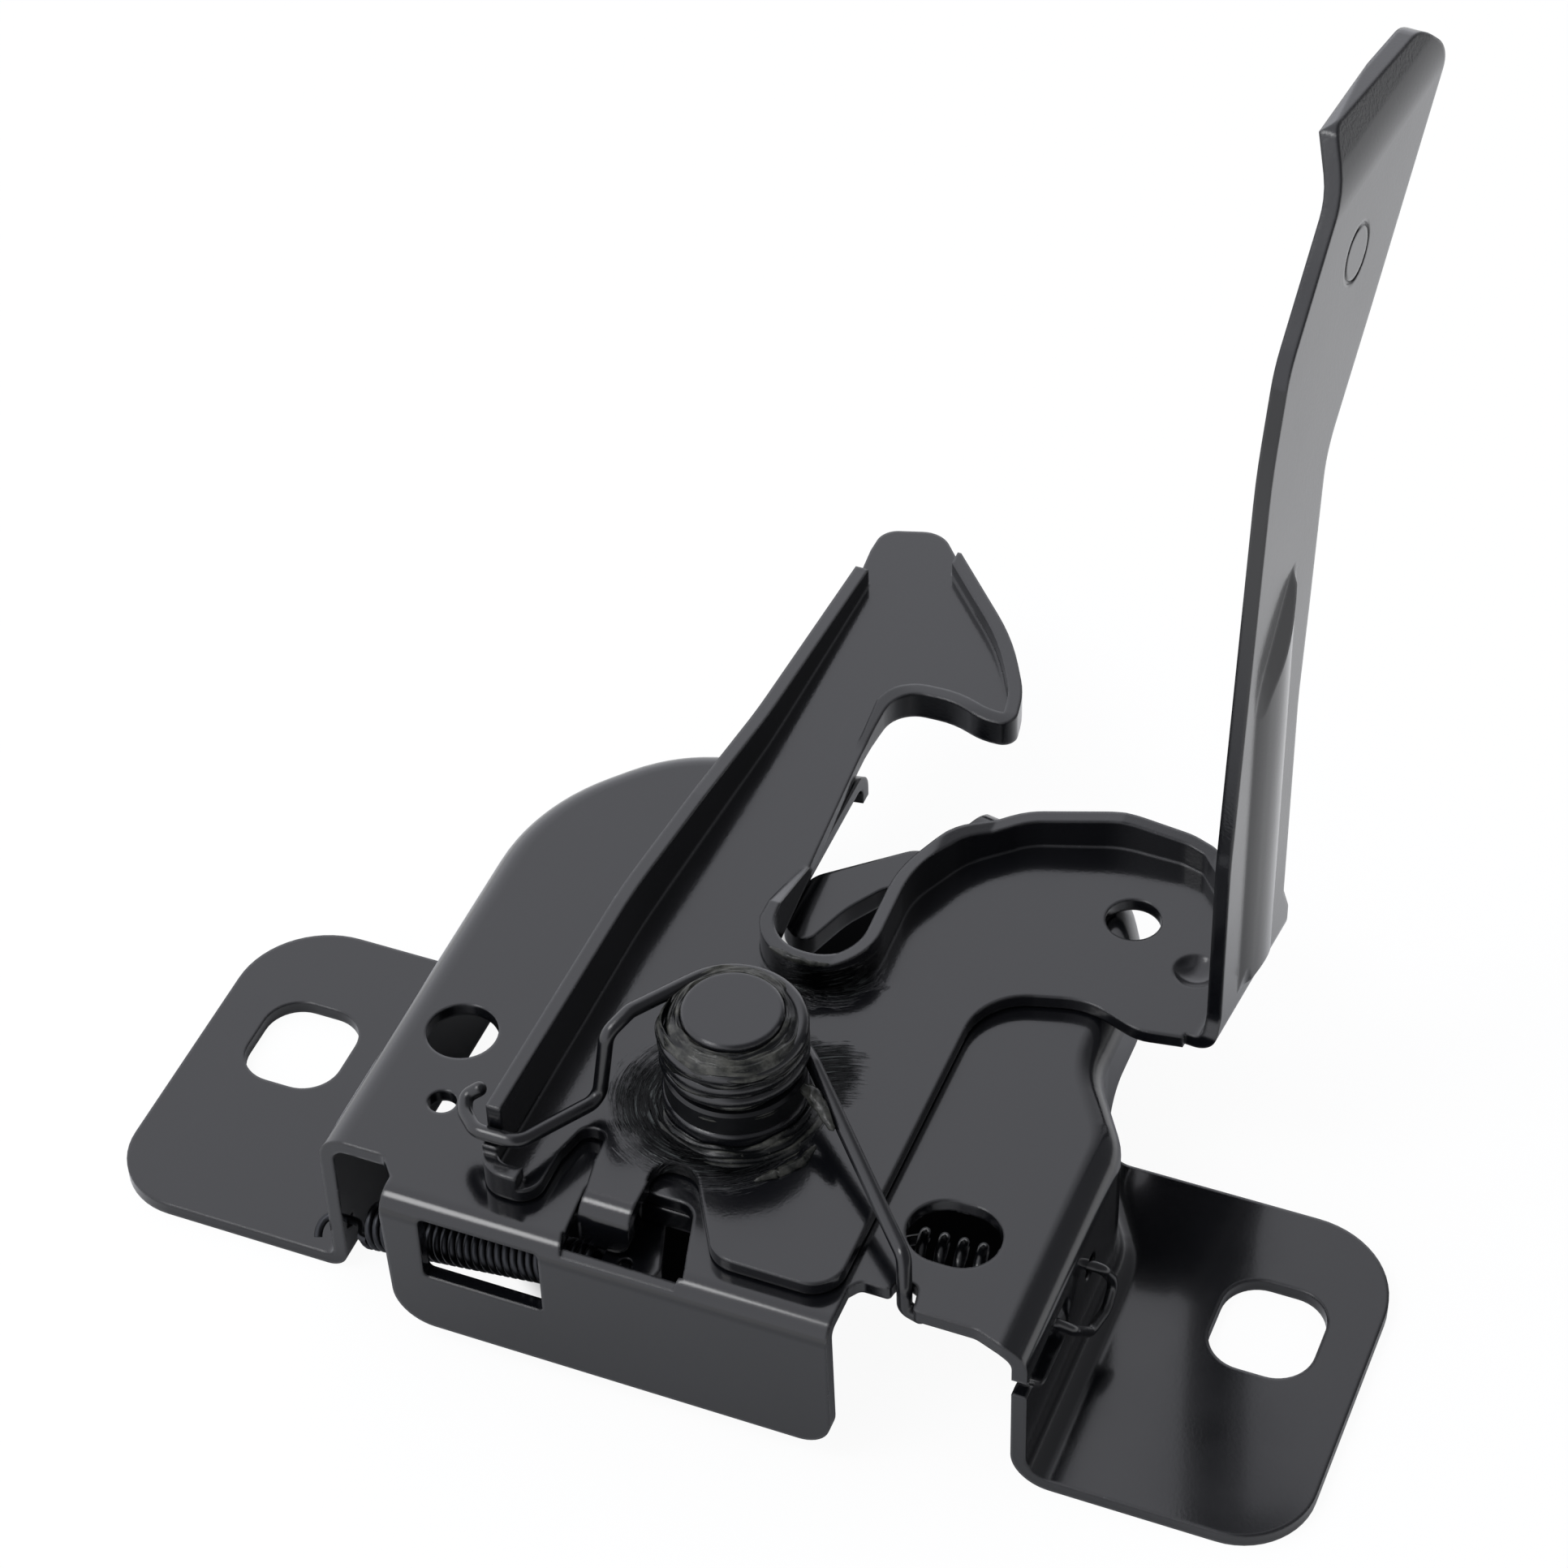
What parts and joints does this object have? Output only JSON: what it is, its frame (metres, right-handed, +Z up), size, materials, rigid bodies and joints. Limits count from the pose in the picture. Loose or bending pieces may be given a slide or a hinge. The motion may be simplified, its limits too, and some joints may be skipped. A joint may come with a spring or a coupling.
{
  "type": "bonnet latch",
  "caption": "Stamped bonnet latch: slotted base plate with side flanges, sprung safety catch with an upright handle, primary catch and release lever below the deck.",
  "frame": {"origin": "middle plane of the striker slot at the underside of the two side flanges, 3.5 mm behind the pivot stud's axis", "axes": "+Z up through the deck along the pivot stud, +Y from the pivot stud to the slot's mouth, +X to the side of the upright handle"},
  "size_m": [0.21, 0.1788, 0.1914],
  "materials": {
    "base_plate": "semi-gloss black coat",
    "safety_catch": "semi-gloss black coat",
    "pivot_stud": "semi-gloss black coat",
    "thrust_washer": "plain",
    "catch_bush": "black coat",
    "spring_collar": "smooth black",
    "torsion_spring": "black coated wire",
    "deck_washer": "plain",
    "primary_catch": "black coat",
    "stud_washer": "plain",
    "lever_rivet": "plain",
    "lever_spacer": "plain",
    "release_lever": "black coat",
    "lever_washer": "plain",
    "drive_pin": "plain",
    "closing_spring": "black coated wire",
    "lever_spring": "dull wire"
  },
  "bodies": {
    "base": {"base_plate": "base_plate", "pivot_stud": "pivot_stud", "thrust_washer": "thrust_washer", "spring_collar": "spring_collar", "torsion_spring": "torsion_spring", "deck_washer": "deck_washer", "stud_washer": "stud_washer", "lever_rivet": "lever_rivet", "lever_spacer": "lever_spacer", "lever_washer": "lever_washer", "closing_spring": "closing_spring", "lever_spring": "lever_spring"},
    "safety_hook": {"safety_catch": "safety_catch", "catch_bush": "catch_bush"},
    "primary_hook": {"primary_catch": "primary_catch"},
    "release": {"release_lever": "release_lever", "drive_pin": "drive_pin"}
  },
  "joints": [
    {"name": "safety_catch_pivot", "type": "hinge", "parent": "base", "child": "safety_hook", "pos_m": [0, -0.0035, 0.034], "axis": [0, 0, 1], "range_deg": [0, 16], "stiffness_Nm_per_rad": 0.8, "springref_deg": -51.57, "deforming": ["torsion_spring"]},
    {"name": "release_lever_pivot", "type": "hinge", "parent": "base", "child": "release", "pos_m": [-0.026, -0.0135, 0.0235], "axis": [0, 0, 1], "range_deg": [0, 14], "stiffness_Nm_per_rad": 0.3, "springref_deg": -34.38, "deforming": ["lever_spring"]},
    {"name": "primary_catch_pivot", "type": "hinge", "parent": "base", "child": "primary_hook", "pos_m": [0, -0.0035, 0.0275], "axis": [0, 0, 1], "range_deg": [-15, 0], "stiffness_Nm_per_rad": 1, "springref_deg": 45.84, "deforming": ["closing_spring"]}
  ],
  "couplings": [
    {"joint": "primary_catch_pivot", "follows": "release_lever_pivot", "ratio": -1.0713}
  ]
}
